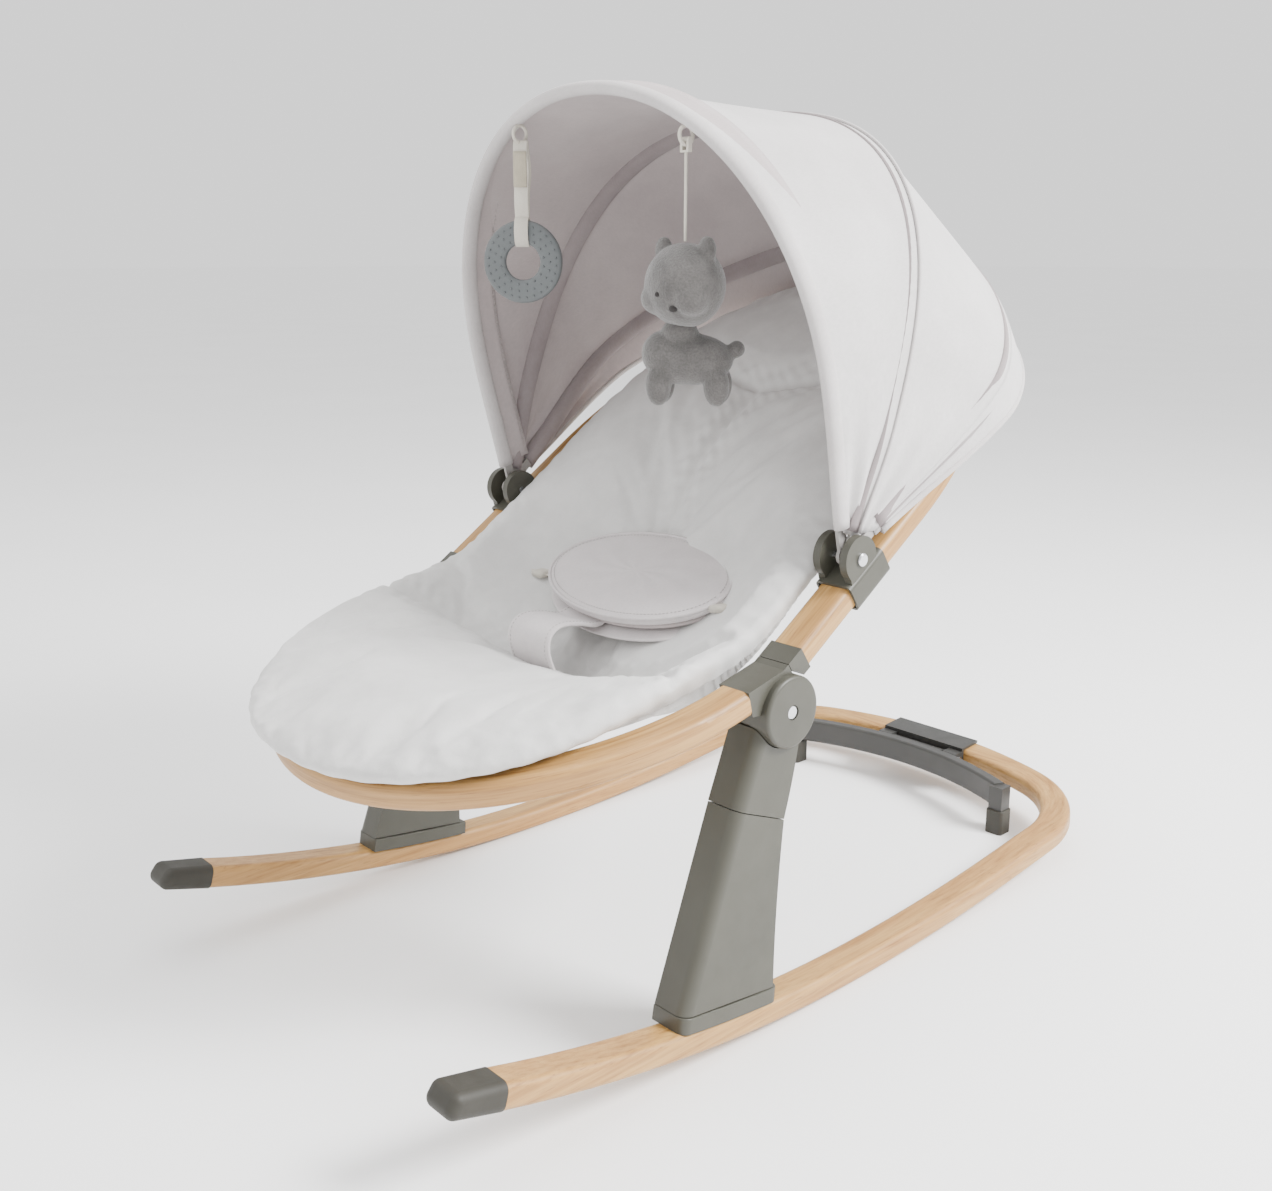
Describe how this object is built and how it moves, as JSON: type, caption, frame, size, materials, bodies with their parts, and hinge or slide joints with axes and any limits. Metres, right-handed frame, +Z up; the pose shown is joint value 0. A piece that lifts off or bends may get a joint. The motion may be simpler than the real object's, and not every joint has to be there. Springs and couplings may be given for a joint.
{
  "type": "baby bouncer seat",
  "caption": "Reclining baby bouncer seat on curved rocker runners, with a fold-back canopy, belly harness, hanging toys and an anti-rock stand.",
  "frame": {"origin": "on the floor under the middle of the base", "axes": "+Z up; +Y towards the head end, so the foot end is at -Y; +X to the baby's left"},
  "size_m": [0.509, 0.8799, 0.7449],
  "materials": {
    "wood": "light oak wood, satin",
    "rubber": "matte rubber",
    "grey_plastic": "warm grey moulded plastic",
    "dark_plastic": "dark grey moulded plastic",
    "steel": "plain steel",
    "bow_plastic": "white plastic strip",
    "canopy_fabric": "smooth off-white woven fabric",
    "velour": "soft off-white velour",
    "pad_fabric": "off-white jersey with piping",
    "webbing": "cream webbing",
    "silicone": "grey silicone",
    "plush_fabric": "heather grey plush"
  },
  "bodies": {
    "rocker_base": {"rocker_runner_left": "wood", "rocker_runner_right": "wood", "runner_cap_left": "rubber", "runner_cap_right": "rubber", "bow_peg_left": "steel", "bow_peg_right": "steel", "leg_foot_left": "grey_plastic", "leg_foot_right": "grey_plastic", "leg_lower_left": "grey_plastic", "leg_lower_right": "grey_plastic", "leg_upper_left": "grey_plastic", "leg_upper_right": "grey_plastic", "hub_bolt_left": "steel", "hub_bolt_right": "steel", "rocker_rear_bow": "wood", "stand_bracket": "dark_plastic", "stand_pin": "steel"},
    "anti_rock_stand": {"stand_bar": "dark_plastic", "stand_tip_left": "rubber", "stand_tip_right": "rubber"},
    "seat": {"seat_hoop": "wood", "seat_socket_left": "grey_plastic", "seat_socket_right": "grey_plastic", "seat_cushion": "velour"},
    "harness": {"crotch_strap": "webbing", "belly_pad": "pad_fabric"},
    "backrest": {"back_hoop": "wood", "back_socket_left": "grey_plastic", "back_socket_right": "grey_plastic", "canopy_bracket_left": "grey_plastic", "canopy_bracket_right": "grey_plastic", "canopy_pin_left": "steel", "canopy_pin_right": "steel", "side_strap_left": "webbing", "side_strap_right": "webbing", "back_cushion": "velour", "canopy_bow_rear": "bow_plastic", "canopy_skirt": "canopy_fabric"},
    "canopy_middle": {"canopy_bow_middle": "bow_plastic", "canopy_fabric_rear": "canopy_fabric"},
    "canopy_front": {"canopy_bow_front": "bow_plastic", "canopy_fabric_front": "canopy_fabric", "toy_loop_left": "canopy_fabric", "toy_loop_right": "canopy_fabric"},
    "teether": {"teether_ring": "silicone", "teether_strap": "webbing"},
    "plush": {"plush_head": "plush_fabric", "plush_body": "plush_fabric", "plush_cord": "webbing"}
  },
  "joints": [
    {"name": "stand_fold", "type": "hinge", "parent": "rocker_base", "child": "anti_rock_stand", "pos_m": [0, 0.3925, 0.042], "axis": [1, 0, 0], "range_deg": [-75, 0]},
    {"name": "seat_tilt", "type": "hinge", "parent": "rocker_base", "child": "seat", "pos_m": [0, -0.1195, 0.272], "axis": [1, 0, 0], "range_deg": [-8, 8]},
    {"name": "harness_lift", "type": "hinge", "parent": "seat", "child": "harness", "pos_m": [0, -0.184, 0.272], "axis": [1, 0, 0], "range_deg": [0, 70]},
    {"name": "backrest_recline", "type": "hinge", "parent": "seat", "child": "backrest", "pos_m": [0, -0.1195, 0.272], "axis": [1, 0, 0], "range_deg": [-20, 0]},
    {"name": "canopy_fold", "type": "hinge", "parent": "backrest", "child": "canopy_middle", "pos_m": [0, -0.0365, 0.378], "axis": [1, 0, 0], "range_deg": [-26, 0], "deforming": ["canopy_fabric_rear"]},
    {"name": "canopy_front_fold", "type": "hinge", "parent": "canopy_middle", "child": "canopy_front", "pos_m": [0, -0.0365, 0.378], "axis": [1, 0, 0], "range_deg": [-26, 0], "deforming": ["canopy_fabric_front"]},
    {"name": "teether_swing", "type": "hinge", "parent": "canopy_front", "child": "teether", "pos_m": [-0.087, -0.118, 0.70864], "axis": [1, 0, 0], "range_deg": [-60, 60]},
    {"name": "plush_swing", "type": "hinge", "parent": "canopy_front", "child": "plush", "pos_m": [0.113, -0.115, 0.69585], "axis": [1, 0, 0], "range_deg": [-60, 60]}
  ],
  "couplings": [
    {"joint": "canopy_front_fold", "follows": "canopy_fold", "ratio": 1}
  ]
}
